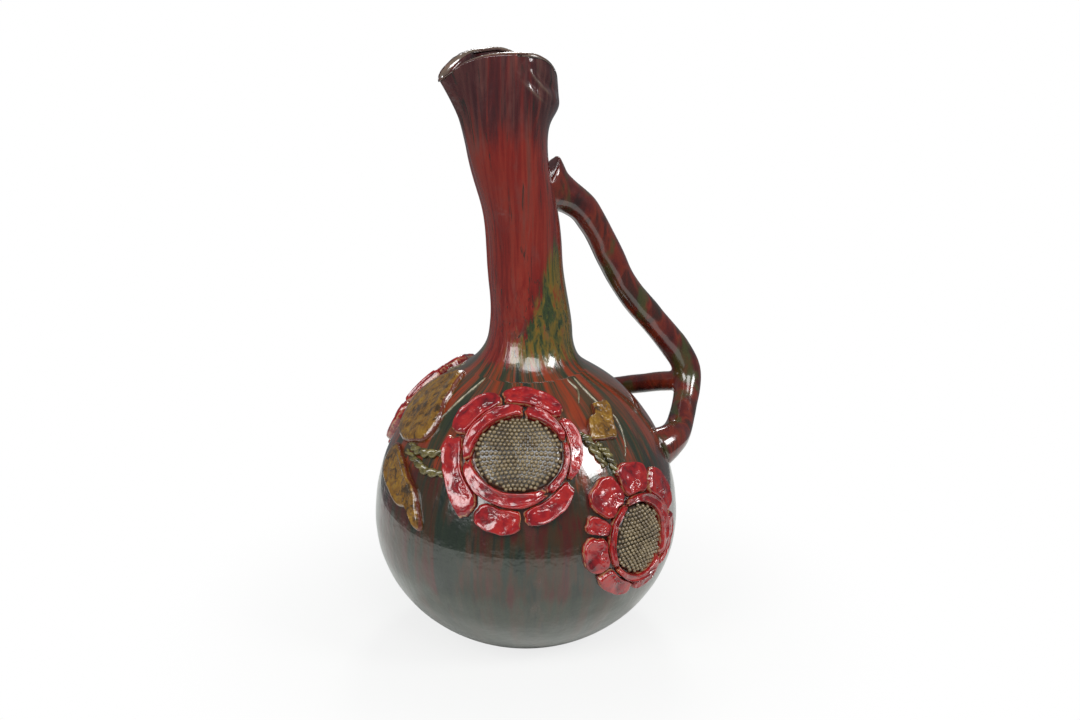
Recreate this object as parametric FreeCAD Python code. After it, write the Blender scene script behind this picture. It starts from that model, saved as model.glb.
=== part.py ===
"""A glazed earthenware jug with a pinched spout, a branching handle and applied flowers.

The jug stands on the plane z = 0 with the axis of its belly on z. The spout points to -x and the
handle to +x. Every piece of clay that the potter made and luted on is a solid of its own, and each
is seated on the surface of the piece that carries it. All lengths are millimetres.
"""

import FreeCAD
import Part

import math
import os

Vector = FreeCAD.Vector

# Belly, thrown as a closed form
belly_radius = 75.0
shoulder_rise = 82.8  # from the widest ring up to where the shoulder would close
belly_depth = 66.2  # from the widest ring down to where the base would close
belly_wall = 5.5
shoulder_wall = 8.0
base_wall = 7.5
foot_radius = 34.0
foot_ring_width = 6.0
foot_recess = 1.6

# Neck, thrown apart and luted on the shoulder
neck_seat_radius = 28.0
neck_rise = 109.0  # from the seat to the throat, where the mouth begins
neck_radius = 17.7
neck_wall = 4.4
neck_lean = 10.5  # how far the neck bends over towards the spout

# Mouth, pinched from the rim of the neck
mouth_rise = 41.0  # from the throat to the top of the rim
mouth_half_width = 14.5
spout_reach = 30.4  # from the middle of the mouth to the tip of the spout
spout_drop = 11.0  # how far the tip lies under the top of the rim
lobe_reach = 26.4  # to the back of the mouth, over the handle
lobe_drop = 15.5
lip_wall = 4.0

# Handle, one pulled branch from the neck to the front of the shoulder, and a strut behind it
branch_radius = 6.9
branch_overhang = 16.2  # how far the outermost bend stands outside the belly's widest ring
strut_radius = 5.1

# Applied clay: petals, seed heads, leaves and stems pressed on the belly
petal_crown = 3.4
inner_petal_crown = 4.4
seed_crown = 4.0
leaf_crown = 2.8
stem_radius = 1.9
clay_gap = 0.5  # the crack left between neighbouring pieces
clay_root = 7.0  # how far an applied piece is drawn into the belly before it is trimmed to it
trim_overrun = 6.0
sewing_tolerance = 0.01

belly_height = belly_depth * math.sqrt(1 - (foot_radius / belly_radius) ** 2)
seat_height = belly_height + shoulder_rise * math.sqrt(1 - (neck_seat_radius / belly_radius) ** 2)

# Neck levels: height over the rise, bend over the lean, outer radius over the neck radius
neck_level_shares = [
    (0.0, 0.0, neck_seat_radius / neck_radius),
    (0.028, -0.06, 1.440),
    (0.064, -0.14, 1.290),
    (0.11, -0.22, 1.180),
    (0.18, -0.26, 1.115),
    (0.29, -0.19, 1.050),
    (0.43, -0.06, 1.012),
    (0.56, 0.06, 1.0),
    (0.70, 0.27, 0.988),
    (0.83, 0.56, 1.012),
    (0.93, 0.82, 1.040),
]
throat_share = 1.06
bore_flare_share = 1.12  # the bore follows the outside down to here and then runs straight

# Mouth outline in sixteenths of a turn, from the back lobe round to the spout: how far each
# bulge takes part there
lobe_shares = [1.0, 0.93, 0.70, 0.40, 0.12, 0.0, 0.0, 0.0, 0.0]
spout_shares = [0.0, 0.0, 0.0, 0.0, 0.0, 0.05, 0.18, 0.45, 1.0]
lobe_full_share = 0.6  # how far up the mouth the back lobe has its full reach
mouth_lean_share = 0.12
rim_power = 3

# Rounds in a skin: points to a round, rounds to a span of a route, rounds up the mouth
ring_steps = 16
span_steps = 2
mouth_steps = 9
lip_turns = (0, 36, 72, 108, 144, 180)

# Branch route: out from the neck's middle over the overhang, to the side over the lower root's,
# up from the lower root over the upper root, then the two half thicknesses over its radius
branch_level = 9  # the neck level that carries the upper root
branch_sink_share = 0.75  # how deep a root is sunk into the wall
branch_azimuth = -24.0
branch_slope = 23.9
branch_start_shares = (1.30, 2.20)
branch_start_drop_share = 0.3
branch_route_shares = [
    (0.220, 0.0, 0.987, 1.22, 1.95),
    (0.279, 0.0, 0.944, 1.10, 1.35),
    (0.366, 0.0, 0.885, 1.02, 1.06),
    (0.427, 0.0, 0.827, 1.0, 1.0),
    (0.477, 0.0, 0.768, 1.0, 1.0),
    (0.526, 0.0, 0.697, 0.99, 1.0),
    (0.597, 0.0, 0.602, 0.97, 0.99),
    (0.685, 0.0, 0.514, 0.96, 0.98),
    (0.777, 0.0, 0.436, 0.97, 1.0),
    (0.873, 0.0, 0.357, 1.0, 1.02),
    (0.943, 0.0, 0.291, 1.02, 1.04),
    (0.990, 0.04, 0.226, 1.04, 1.04),
    (0.988, 0.12, 0.176, 1.04, 1.03),
    (0.956, 0.28, 0.128, 1.0, 1.0),
    (0.902, 0.50, 0.075, 0.97, 0.97),
    (0.831, 0.74, 0.030, 1.02, 1.04),
    (0.746, 0.94, 0.010, 1.20, 1.24),
]
branch_end_shares = (1.50, 1.55)
fork_step = 12  # the point of the route where the strut meets the branch

# Strut route from the fork to its root: shares of the way in x, y and z, then its thickness
strut_azimuth = 32.5
strut_slope = 30.5
strut_route_shares = [
    (0.0, 0.0, 0.0, 1.10),
    (0.124, 0.14, 0.133, 1.06),
    (0.259, 0.364, 0.28, 1.0),
    (0.417, 0.56, 0.447, 0.98),
    (0.558, 0.756, 0.607, 0.98),
    (0.687, 0.924, 0.76, 1.02),
    (0.828, 1.0, 0.88, 1.16),
]
strut_end_share = 1.6

# A petal's outline: along its arc and across it, both from -1 to 1
petal_outline_shares = [
    (-0.95, -0.72),
    (-1.0, 0.0),
    (-0.95, 0.70),
    (-0.76, 1.0),
    (-0.38, 1.07),
    (0.0, 0.98),
    (0.38, 1.08),
    (0.76, 1.0),
    (0.95, 0.70),
    (1.0, 0.0),
    (0.95, -0.72),
    (0.62, -1.0),
    (0.0, -1.0),
    (-0.62, -1.0),
]
# How far an applied piece spreads at its root, and draws in as far above the belly
pad_spread_share = 0.07

# Flowers: place on the belly in degrees, reach over the belly's radius, the collar and the seed head
# over that reach, then petals as start and end angle about the seed head with their reach there and
# between over the flower's reach, and the inner petals' angles
flowers = {
    "front_flower": {
        "azimuth": -118.3,
        "slope": 39.2,
        "reach_share": 0.4933333,
        "collar_share": 0.672973,
        "collar_shift_share": -0.0459459,
        "seed_across_share": 1.0972973,
        "seed_up_share": 0.9351351,
        "petal_shares": [
            (108, 158, 0.96, 1.08, 1.0),
            (48, 106, 0.88, 0.97, 0.97),
            (-24, 46, 0.74, 0.83, 0.80),
            (-84, -26, 0.90, 0.93, 0.83),
            (-128, -86, 1.02, 1.05, 0.98),
            (160, 230, 1.13, 1.03, 1.16),
        ],
        "inner_turns": [(86, 184), (20, 84), (-50, 18), (-174, -52)],
    },
    "side_flower": {
        "azimuth": -71.7,
        "slope": 6.6,
        "reach_share": 0.44,
        "collar_share": 0.6212121,
        "collar_shift_share": 0.0606061,
        "seed_across_share": 0.8969697,
        "seed_up_share": 0.9878788,
        "petal_shares": [
            (104, 141, 1.06, 1.16, 0.98),
            (65, 102, 1.04, 1.15, 1.10),
            (12, 63, 0.94, 1.10, 1.10),
            (-52, 10, 0.74, 0.84, 0.93),
            (143, 162, 0.96, 0.97, 0.94),
            (164, 206, 0.90, 0.98, 0.84),
            (-152, -102, 0.88, 0.88, 0.80),
            (-100, -54, 0.76, 0.78, 0.74),
        ],
        "inner_turns": [(108, 216), (-40, 106), (-142, -42)],
    },
    "back_flower": {
        "azimuth": 121.0,
        "slope": 36.0,
        "reach_share": 0.4466667,
        "collar_share": 0.6746269,
        "collar_shift_share": 0.0,
        "seed_across_share": 1.0447761,
        "seed_up_share": 0.9850746,
        "petal_shares": [
            (22, 78, 0.96, 1.02, 0.98),
            (80, 132, 0.98, 1.03, 1.0),
            (134, 200, 1.0, 0.98, 1.02),
            (-158, -98, 1.0, 1.02, 0.96),
            (-96, -44, 0.97, 1.0, 0.96),
            (-42, 20, 0.94, 0.98, 0.95),
        ],
        "inner_turns": [(10, 80), (82, 150), (152, 222), (-136, -66), (-64, 8)],
    },
}

# Leaves: place, size over the belly's radius, and the outline over the size, right and up
leaves = {
    "large_leaf": {
        "azimuth": 173.0,
        "slope": 48.5,
        "size_share": 0.3,
        "outline_shares": [
            (-0.06, 1.10),
            (0.34, 0.72),
            (0.60, 0.34),
            (0.86, 0.06),
            (1.02, -0.26),
            (0.92, -0.54),
            (0.46, -0.84),
            (-0.16, -0.86),
            (-0.48, -0.60),
            (-0.70, -0.24),
            (-0.72, 0.18),
            (-0.48, 0.64),
        ],
    },
    "pointed_leaf": {
        "azimuth": -171.0,
        "slope": 21.5,
        "size_share": 0.2933333,
        "outline_shares": [
            (0.94, -0.66),
            (0.78, -0.30),
            (0.54, 0.05),
            (0.24, 0.22),
            (-0.20, 0.52),
            (-0.78, 0.74),
            (-1.02, 0.50),
            (-0.98, 0.06),
            (-0.30, -0.28),
            (0.06, -0.44),
            (0.46, -0.42),
            (0.84, -0.74),
        ],
    },
    "small_leaf": {
        "azimuth": -72.5,
        "slope": 47.5,
        "size_share": 0.1466667,
        "outline_shares": [
            (0.06, 0.80),
            (0.46, 0.78),
            (0.90, 0.74),
            (0.80, 0.26),
            (0.52, -0.36),
            (0.30, -0.92),
            (-0.20, -0.88),
            (-0.62, -0.82),
            (-0.98, -0.66),
            (-0.80, -0.10),
            (-0.56, 0.22),
            (-0.16, 0.36),
        ],
    },
}

# Stems: azimuth and slope of each bend in degrees, and the thickness there over the radius
stems = {
    "left_stem_upper": [(-176, 35.0, 0.8), (-170, 33.8, 1.0), (-162, 34.3, 1.1), (-154, 36.0, 1.0)],
    "left_stem_lower": [(-176, 31.8, 0.8), (-167, 30.6, 1.0), (-159, 28.9, 1.1), (-150, 29.6, 1.0)],
    "right_stem_upper": [(-91, 44.5, 0.8), (-85.5, 42.4, 1.1), (-83, 37.5, 1.0), (-80.5, 32, 0.9)],
    "right_stem_lower": [(-81, 40.0, 0.9), (-78.2, 37.0, 1.0), (-76.8, 33.5, 1.0), (-76, 29, 0.9)],
}
stem_lift_share = 0.35


def smooth(share):
    """A step from 0 to 1 that starts and ends level."""
    held = min(1.0, max(0.0, share))
    return held * held * (3 - 2 * held)


def bore_radius(outer_share):
    return neck_radius * min(outer_share, bore_flare_share) - neck_wall


def ring(points):
    """A closed smooth wire through points."""
    curve = Part.BSplineCurve()
    evenly = [step / len(points) for step in range(len(points) + 1)]
    curve.interpolate(Points=points, Parameters=evenly, PeriodicFlag=True)
    return Part.Wire([curve.toShape()])


def spread(rows):
    """Rows of values refilled with more rows to a span, on smooth curves through the rows."""
    columns = []
    for column in zip(*rows):
        curve = Part.BSplineCurve()
        points = [Vector(index, value, 0) for index, value in enumerate(column)]
        curve.interpolate(Points=points, Parameters=list(range(len(rows))))
        steps = range((len(rows) - 1) * span_steps + 1)
        columns.append([curve.value(step / span_steps).y for step in steps])
    return list(zip(*columns))


def largest(shape):
    """The biggest solid of a cut, without the slivers beside it."""
    return max(shape.Solids, key=lambda solid: solid.Volume)


def line(start, end):
    return Part.makeLine(Vector(start[0], 0, start[1]), Vector(end[0], 0, end[1]))


def spin(edges):
    """The solid of a closed outline in the xz plane turned about the z axis."""
    face = Part.Face(Part.Wire(Part.sortEdges(edges)[0]))
    return face.revolve(Vector(0, 0, 0), Vector(0, 0, 1), 360)


def belly_arc(radius, rise, slope_from, slope_to):
    """An arc of the belly's oval outline between two slopes, counted from the widest ring."""
    middle = Vector(0, 0, belly_height)
    side = middle + Vector(radius, 0, 0)
    pole = middle + Vector(0, 0, rise)
    if rise < radius:
        return Part.Edge(Part.Ellipse(side, pole, middle), slope_from, slope_to)
    return Part.Edge(Part.Ellipse(pole, side, middle), math.pi / 2 - slope_to, math.pi / 2 - slope_from)


def full_belly():
    """The belly before it is hollowed: two half eggs, cut level at the foot and the neck's seat."""
    foot_slope = -math.acos(foot_radius / belly_radius)
    seat_slope = math.acos(neck_seat_radius / belly_radius)
    low = belly_arc(belly_radius, belly_depth, foot_slope, 0)
    high = belly_arc(belly_radius, shoulder_rise, 0, seat_slope)
    foot = line((0, 0), (foot_radius, 0))
    seat = line((neck_seat_radius, seat_height), (0, seat_height))
    axis = line((0, seat_height), (0, 0))
    return spin([foot, low, high, seat, axis])


def belly():
    """The thrown belly, hollow, open at the shoulder and turned to a foot ring underneath."""
    inner_radius = belly_radius - belly_wall
    low = belly_arc(inner_radius, belly_height - base_wall, -math.pi / 2, 0)
    high = belly_arc(inner_radius, shoulder_rise - shoulder_wall, 0, math.pi / 2)
    axis = line((0, belly_height + shoulder_rise - shoulder_wall), (0, base_wall))
    shell = solid_belly.cut(spin([low, high, axis]))
    bore = Part.makeCylinder(
        bore_radius(bore_flare_share), shoulder_rise + trim_overrun, Vector(0, 0, belly_height)
    )
    inner_foot = foot_radius - foot_ring_width
    recess = Part.makeCone(
        inner_foot + foot_recess, inner_foot - foot_recess, foot_recess * 2, Vector(0, 0, -foot_recess)
    )
    return shell.cut(bore).cut(recess)


def neck_ring(height_share, lean_share, radius):
    """A round of the neck at one of its levels."""
    middle = Vector(-neck_lean * lean_share, 0, seat_height + neck_rise * height_share)
    points = []
    for step in range(ring_steps):
        angle = 2 * math.pi * step / ring_steps
        points.append(middle + Vector(radius * math.cos(angle), radius * math.sin(angle), 0))
    return ring(points)


def rim_height(offset):
    """How high the rim stands over the throat, offset from the middle of the mouth along x."""
    if offset < 0:
        return mouth_rise - spout_drop * (-offset / spout_reach) ** rim_power
    return mouth_rise - lobe_drop * (offset / lobe_reach) ** rim_power


def mouth_ring(climb, inset, lift):
    """A round of the mouth, from the throat (climb 0) up to the rim (climb 1)."""
    points = []
    throat = neck_radius * throat_share
    side = throat + (mouth_half_width - throat) * climb
    middle = -neck_lean * (1 + mouth_lean_share * climb)
    for step in range(ring_steps):
        turn = min(step, ring_steps - step)
        angle = 2 * math.pi * step / ring_steps
        lobe = lobe_shares[turn]
        spout = spout_shares[turn]
        reach = side - inset
        reach += (lobe_reach - side) * lobe * smooth(climb / lobe_full_share)
        reach += (spout_reach - side) * spout * climb
        full = mouth_half_width
        full += (lobe_reach - mouth_half_width) * lobe
        full += (spout_reach - mouth_half_width) * spout
        height = seat_height + neck_rise + rim_height(full * math.cos(angle)) * climb + lift
        points.append(Vector(middle + reach * math.cos(angle), reach * math.sin(angle), height))
    return ring(points)


def neck():
    """The neck in one skin: up the outside, over the rounded lip and down the bore."""
    outside = []
    inside = []
    for height_share, lean_share, outer_share in spread(neck_level_shares):
        outside.append(neck_ring(height_share, lean_share, neck_radius * outer_share))
        inside.append(neck_ring(height_share, lean_share, bore_radius(outer_share)))
    for step in range(mouth_steps):
        climb = step / mouth_steps
        outside.append(mouth_ring(climb, 0, 0))
        inside.append(mouth_ring(climb, neck_wall + (lip_wall - neck_wall) * climb, 0))
    lip = []
    half = lip_wall / 2
    for turn in lip_turns:
        angle = math.radians(turn)
        lip.append(mouth_ring(1, half - half * math.cos(angle), half * math.sin(angle) - half))
    skin = Part.makeLoft(outside + lip + inside[::-1], False, True)
    seat = Part.Face([outside[0], inside[0]])
    shell = Part.Shell(skin.Faces + [seat])
    shell.sewShape()
    solid = Part.Solid(shell)
    solid.fix(sewing_tolerance, sewing_tolerance, sewing_tolerance)
    return solid


def on_belly(point, lift):
    """The point of the belly, lifted off it, that lies on the ray from its middle to point."""
    middle = Vector(0, 0, belly_height)
    ray = point - middle
    rise = shoulder_rise if ray.z > 0 else belly_depth
    across = math.hypot(ray.x, ray.y) / (belly_radius + lift)
    return middle + ray / math.hypot(across, ray.z / (rise + lift))


def belly_point(azimuth, slope, lift):
    turn = math.radians(azimuth)
    rise = math.radians(slope)
    out = belly_radius * math.cos(rise)
    height = belly_height + shoulder_rise * math.sin(rise)
    return on_belly(Vector(out * math.cos(turn), out * math.sin(turn), height), lift)


def belly_normal(point):
    ray = point - Vector(0, 0, belly_height)
    rise = shoulder_rise if ray.z > 0 else belly_depth
    normal = Vector(ray.x / belly_radius ** 2, ray.y / belly_radius ** 2, ray.z / rise ** 2)
    return normal.normalize()


def tube(stations, aside):
    """A tube through stations of (middle, half thickness aside, half thickness the other way)."""
    rows = spread([(*middle, wide, tall) for middle, wide, tall in stations])
    middles = [Vector(*row[:3]) for row in rows]
    wires = []
    for index, (*_, wide, tall) in enumerate(rows):
        along = middles[min(len(rows) - 1, index + 1)] - middles[max(0, index - 1)]
        along.normalize()
        side = (aside - along * aside.dot(along)).normalize()
        other = along.cross(side)
        points = []
        for step in range(ring_steps):
            angle = 2 * math.pi * step / ring_steps
            offset = side * (wide * math.cos(angle)) + other * (tall * math.sin(angle))
            points.append(middles[index] + offset)
        wires.append(ring(points))
    return Part.makeLoft(wires, True, True)


def branch_stations():
    """The branch from inside the neck's wall, out, down and forward to inside the belly's wall."""
    height_share, lean_share, outer_share = neck_level_shares[branch_level]
    top = Vector(-neck_lean * lean_share, 0, seat_height + neck_rise * height_share)
    root = belly_point(branch_azimuth, branch_slope, 0)
    reach = belly_radius + branch_overhang - top.x
    sink = neck_radius * outer_share - neck_wall * branch_sink_share
    start = top + Vector(sink, 0, -branch_radius * branch_start_drop_share)
    stations = [(start, *[branch_radius * share for share in branch_start_shares])]
    for out, aside, up, wide, tall in branch_route_shares:
        middle = Vector(top.x + reach * out, root.y * aside, root.z + (top.z - root.z) * up)
        stations.append((middle, branch_radius * wide, branch_radius * tall))
    inner = root - belly_normal(root) * (belly_wall * branch_sink_share)
    stations.append((inner, *[branch_radius * share for share in branch_end_shares]))
    return stations


def strut_stations():
    """The strut from inside the branch at the fork to inside the belly's wall behind it."""
    fork = branch_stations()[fork_step + 1][0]
    root = belly_point(strut_azimuth, strut_slope, 0)
    way = root - fork
    stations = []
    for out, aside, down, thick in strut_route_shares:
        middle = fork + Vector(way.x * out, way.y * aside, way.z * down)
        stations.append((middle, strut_radius * thick, strut_radius * thick))
    inner = root - belly_normal(root) * (belly_wall * branch_sink_share)
    stations.append((inner, strut_radius * strut_end_share, strut_radius * strut_end_share))
    return stations


def tangent_frame(azimuth, slope):
    """The point of the belly at a place, and the ways right and up along it from outside."""
    turn = math.radians(azimuth)
    point = belly_point(azimuth, slope, 0)
    right = Vector(-math.sin(turn), math.cos(turn), 0)
    return point, right, belly_normal(point).cross(right)


def flattened(points, middle, normal, height):
    """The points moved along normal into one plane, height above middle."""
    return [point - normal * ((point - middle).dot(normal) - height) for point in points]


def coat(thickness):
    """A layer of clay of even thickness all over the belly."""
    low = belly_arc(belly_radius + thickness, belly_depth + thickness, -math.pi / 2, 0)
    high = belly_arc(belly_radius + thickness, shoulder_rise + thickness, 0, math.pi / 2)
    top = belly_height + shoulder_rise + thickness
    bottom = belly_height - belly_depth - thickness
    return spin([low, high, line((0, top), (0, bottom))]).cut(solid_belly)


def pad(place, outline_shares, clay):
    """A piece cut with sloping edges from a coat of clay: place turns outline shares into a point."""
    middle = on_belly(place(0, 0), 0)
    normal = belly_normal(middle)
    wires = []
    for scale, height in ((1 + pad_spread_share, -clay_root), (1 - pad_spread_share, clay_root)):
        points = [on_belly(place(along * scale, across * scale), 0) for along, across in outline_shares]
        wires.append(ring(flattened(points, middle, normal, height)))
    return largest(Part.makeLoft(wires, True, True).common(clay))


def flower_reach(flower):
    return belly_radius * flower["reach_share"]


def petal(flower, turns, inner_edge, outer_edge, clay):
    """A petal over an arc round the seed head, between two edges that follow the turn."""
    heart, right, up = tangent_frame(flower["azimuth"], flower["slope"])
    crack = math.degrees(clay_gap / flower_reach(flower))
    half_turn = (turns[1] - turns[0] - crack) / 2

    def place(along, across):
        turn = math.radians((turns[0] + turns[1]) / 2 + half_turn * along)
        inner = inner_edge(turn) + clay_gap
        outer = outer_edge(turn, along)
        reach = (outer + inner) / 2 + (outer - inner) / 2 * across
        return heart + right * (reach * math.cos(turn)) + up * (reach * math.sin(turn))

    return pad(place, petal_outline_shares, clay)


def flower_pieces(name, flower):
    """The seed head of a flower, the collar of inner petals round it and the outer petals."""
    heart, right, up = tangent_frame(flower["azimuth"], flower["slope"])
    flower_size = flower_reach(flower)
    half_across = flower_size * flower["seed_across_share"] / 2
    half_up = flower_size * flower["seed_up_share"] / 2

    def seed_edge(turn):
        return 1 / math.hypot(math.cos(turn) / half_across, math.sin(turn) / half_up)

    def collar_edge(turn, along=0):
        return flower_size * (flower["collar_share"] + flower["collar_shift_share"] * math.cos(turn))

    def seed_place(along, across):
        return heart + right * (half_across * along) + up * (half_up * across)

    pieces = {f"{name}_seed_head": pad(seed_place, round_shares(), coat(seed_crown))}
    collar_clay = coat(inner_petal_crown)
    for count, turns in enumerate(flower["inner_turns"], 1):
        inner = petal(flower, turns, seed_edge, collar_edge, collar_clay)
        pieces[f"{name}_inner_petal_{count}"] = inner
    petal_clay = coat(petal_crown)
    for count, (start, end, first, middle, last) in enumerate(flower["petal_shares"], 1):

        def reach_edge(turn, along, first=first, middle=middle, last=last):
            bow = (first + last) / 2 - middle
            return flower_size * (middle + (last - first) / 2 * along + bow * along ** 2)

        outer = petal(flower, (start, end), collar_edge, reach_edge, petal_clay)
        pieces[f"{name}_petal_{count}"] = outer
    return pieces


def round_shares():
    """A circle of radius 1 as outline shares."""
    turns = [2 * math.pi * step / ring_steps for step in range(ring_steps)]
    return [(math.cos(turn), math.sin(turn)) for turn in turns]


def leaf(places):
    """A leaf with its own outline, pressed on the belly."""
    middle, right, up = tangent_frame(places["azimuth"], places["slope"])
    size = belly_radius * places["size_share"]

    def place(along, across):
        return middle + right * (size * along) + up * (size * across)

    return pad(place, places["outline_shares"], coat(leaf_crown))


def stem(bends):
    """A rolled stem that lies on the belly, part sunk into it."""
    stations = []
    for azimuth, slope, thick in bends:
        middle = belly_point(azimuth, slope, stem_radius * stem_lift_share)
        stations.append((middle, stem_radius * thick, stem_radius * thick))
    normal = belly_normal(stations[0][0])
    return largest(tube(stations, normal).cut(solid_belly))


solid_belly = full_belly()

parts = {}
parts["belly"] = belly()
parts["neck"] = neck()
branch = tube(branch_stations(), Vector(0, 1, 0))
parts["handle_branch"] = largest(branch.cut(solid_belly).cut(parts["neck"]))
strut = tube(strut_stations(), Vector(0, 0, 1))
parts["handle_strut"] = largest(strut.cut(solid_belly).cut(parts["handle_branch"]))
for flower_name, flower_sizes in flowers.items():
    parts.update(flower_pieces(flower_name, flower_sizes))
for leaf_name, leaf_places in leaves.items():
    parts[leaf_name] = leaf(leaf_places)
for stem_name, stem_bends in stems.items():
    rolled = stem(stem_bends)
    for name, shape in list(parts.items()):
        if name not in ("belly", "neck") and rolled.BoundBox.intersect(shape.BoundBox):
            rolled = largest(rolled.cut(shape))
    parts[stem_name] = rolled

os.makedirs("parts", exist_ok=True)
for name, shape in parts.items():
    shape.exportStep(f"parts/{name}.step")
    print(name, shape.isValid(), round(shape.Volume, 1), len(shape.Solids), len(shape.Faces))
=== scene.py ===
import bpy
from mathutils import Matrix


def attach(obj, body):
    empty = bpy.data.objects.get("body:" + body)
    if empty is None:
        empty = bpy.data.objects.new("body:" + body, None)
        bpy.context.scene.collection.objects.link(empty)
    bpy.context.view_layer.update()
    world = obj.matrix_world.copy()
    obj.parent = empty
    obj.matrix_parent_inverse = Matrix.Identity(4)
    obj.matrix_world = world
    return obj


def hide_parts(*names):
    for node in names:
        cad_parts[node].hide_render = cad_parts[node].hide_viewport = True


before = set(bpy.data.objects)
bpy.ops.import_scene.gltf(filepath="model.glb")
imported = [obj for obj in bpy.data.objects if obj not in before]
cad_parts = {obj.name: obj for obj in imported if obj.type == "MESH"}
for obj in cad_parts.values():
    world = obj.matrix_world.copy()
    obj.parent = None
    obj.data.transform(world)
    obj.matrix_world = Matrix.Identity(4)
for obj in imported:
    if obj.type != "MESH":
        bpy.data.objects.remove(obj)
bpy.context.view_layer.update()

import bpy, math, random
import numpy as np
from mathutils import Vector, noise

mm = 0.001
random.seed(7)

# belly outline, as the potter threw it: two half eggs that meet at the widest ring
belly = {
    "radius": 75.0,
    "rise": 82.8,
    "depth": 66.2,
    "middle": 58.97,  # height of the widest ring
    "wallSide": 5.5,
    "wallTop": 8.0,
    "wallBase": 7.5,
    "footRadius": 34.0,
    "footRing": 6.0,
    "footRecess": 1.6,
    # rounded edges of the foot ring: shift from its inner or its outer radius, and height
    "footInnerEdge": [(-0.6, 1.55), (0.1, 0.9), (1.0, 0.3), (2.4, 0.0)],
    "footOuterEdge": [(-2.2, 0.0), (-0.7, 0.35)],
    "neckHole": 15.43,  # radius where the cavity meets the bore
    "outerRings": 150,
    "cavityRings": 70,
}


# small tools
def linear(hexColour):
    channels = [int(hexColour[i:i + 2], 16) / 255 for i in (1, 3, 5)]
    return [c / 12.92 if c <= 0.04045 else ((c + 0.055) / 1.055) ** 2.4 for c in channels] + [1.0]


def smoothStep(low, high, value):
    t = np.clip((value - low) / (high - low), 0, 1)
    return t * t * (3 - 2 * t)


def bump(value, middle, width):
    return np.exp(-((value - middle) / width) ** 2)


def rough(points, scale, seed):
    # soft random height between -1 and 1 at points in mm, one feature about every scale mm
    offset = Vector((seed * 13.7, seed * 5.3, seed * 9.1))
    return np.array([noise.noise(Vector(p) / scale + offset) for p in points])


def closedCurve(values, count):
    # smooth closed run through values, count points round
    values = np.array(values, float)
    n = len(values)
    at = np.arange(count) * n / count
    i = at.astype(int)
    f = (at - i).reshape((-1,) + (1,) * (values.ndim - 1))
    a, b, c, d = (values[(i + k) % n] for k in (-1, 0, 1, 2))
    return b + 0.5 * f * (c - a + f * (2 * a - 5 * b + 4 * c - d + f * (3 * (b - c) + d - a)))


def openCurve(values, steps):
    # smooth open run through values, steps points to a span
    values = np.array(values, float)
    padded = np.vstack([2 * values[0] - values[1], values, 2 * values[-1] - values[-2]])
    out = []
    for i in range(1, len(padded) - 2):
        a, b, c, d = padded[i - 1:i + 3]
        for k in range(steps):
            f = k / steps
            out.append(b + 0.5 * f * (c - a + f * (2 * a - 5 * b + 4 * c - d + f * (3 * (b - c) + d - a))))
    out.append(values[-1])
    return np.array(out)


def onBelly(points, lift=0.0):
    # points drawn in or out along the ray from the belly's middle, until they lie lift over the clay
    ray = np.atleast_2d(points) - [0, 0, belly["middle"]]
    tall = np.where(ray[:, 2] > 0, belly["rise"], belly["depth"])
    across = np.hypot(ray[:, 0], ray[:, 1]) / (belly["radius"] + lift)
    return ray / np.hypot(across, ray[:, 2] / (tall + lift))[:, None] + [0, 0, belly["middle"]]


def bellyPoint(azimuth, slope, lift=0.0):
    turn, rise = math.radians(azimuth), math.radians(slope)
    out = belly["radius"] * math.cos(rise)
    point = [out * math.cos(turn), out * math.sin(turn), belly["middle"] + belly["rise"] * math.sin(rise)]
    return onBelly(point, lift)[0]


def bellyNormal(points):
    ray = np.atleast_2d(points) - [0, 0, belly["middle"]]
    tall = np.where(ray[:, 2] > 0, belly["rise"], belly["depth"])
    normal = np.column_stack([ray[:, :2] / belly["radius"] ** 2, ray[:, 2] / tall ** 2])
    return normal / np.linalg.norm(normal, axis=1)[:, None]


def tangentFrame(azimuth, slope):
    turn = math.radians(azimuth)
    point = bellyPoint(azimuth, slope)
    right = np.array([-math.sin(turn), math.cos(turn), 0])
    return point, right, np.cross(bellyNormal(point)[0], right)


def makePiece(name, points, faces, material, nodes, marks=None):
    # a mesh piece from points in mm; marks are soft values per point that its glaze reads
    mesh = bpy.data.meshes.new(name)
    mesh.from_pydata((np.array(points) * mm).tolist(), [], faces)
    mesh.update()
    for mark, values in (marks or {}).items():
        values = np.array(values, float)
        kind = "FLOAT_VECTOR" if values.ndim == 2 else "FLOAT"
        layer = mesh.attributes.new(mark, kind, "POINT")
        layer.data.foreach_set("vector" if values.ndim == 2 else "value", values.ravel())
    mesh.polygons.foreach_set("use_smooth", [True] * len(mesh.polygons))
    mesh.materials.append(material)
    piece = bpy.data.objects.new(name, mesh)
    bpy.context.scene.collection.objects.link(piece)
    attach(piece, "root")
    if nodes:
        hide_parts(*nodes)
    return piece


def ringFaces(rings, around, first=0):
    faces = []
    for r in range(rings - 1):
        for k in range(around):
            a, b = first + r * around + k, first + r * around + (k + 1) % around
            faces.append((a, b, b + around, a + around))
    return faces


def tubeRings(path, wide, tall, aside, around):
    # rings of a tube along path, turned so that its wide way lies along aside
    path = np.array(path)
    along = np.gradient(path, axis=0)
    along /= np.linalg.norm(along, axis=1)[:, None]
    aside = np.broadcast_to(np.array(aside, float), path.shape)
    side = aside - along * (aside * along).sum(1)[:, None]
    side /= np.linalg.norm(side, axis=1)[:, None]
    other = np.cross(along, side)
    turn = np.arange(around) * 2 * math.pi / around
    wide, tall = (np.broadcast_to(v, len(path))[:, None, None] for v in (wide, tall))
    return (path[:, None, :] + side[:, None, :] * np.cos(turn)[None, :, None] * wide
            + other[:, None, :] * np.sin(turn)[None, :, None] * tall)


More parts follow.
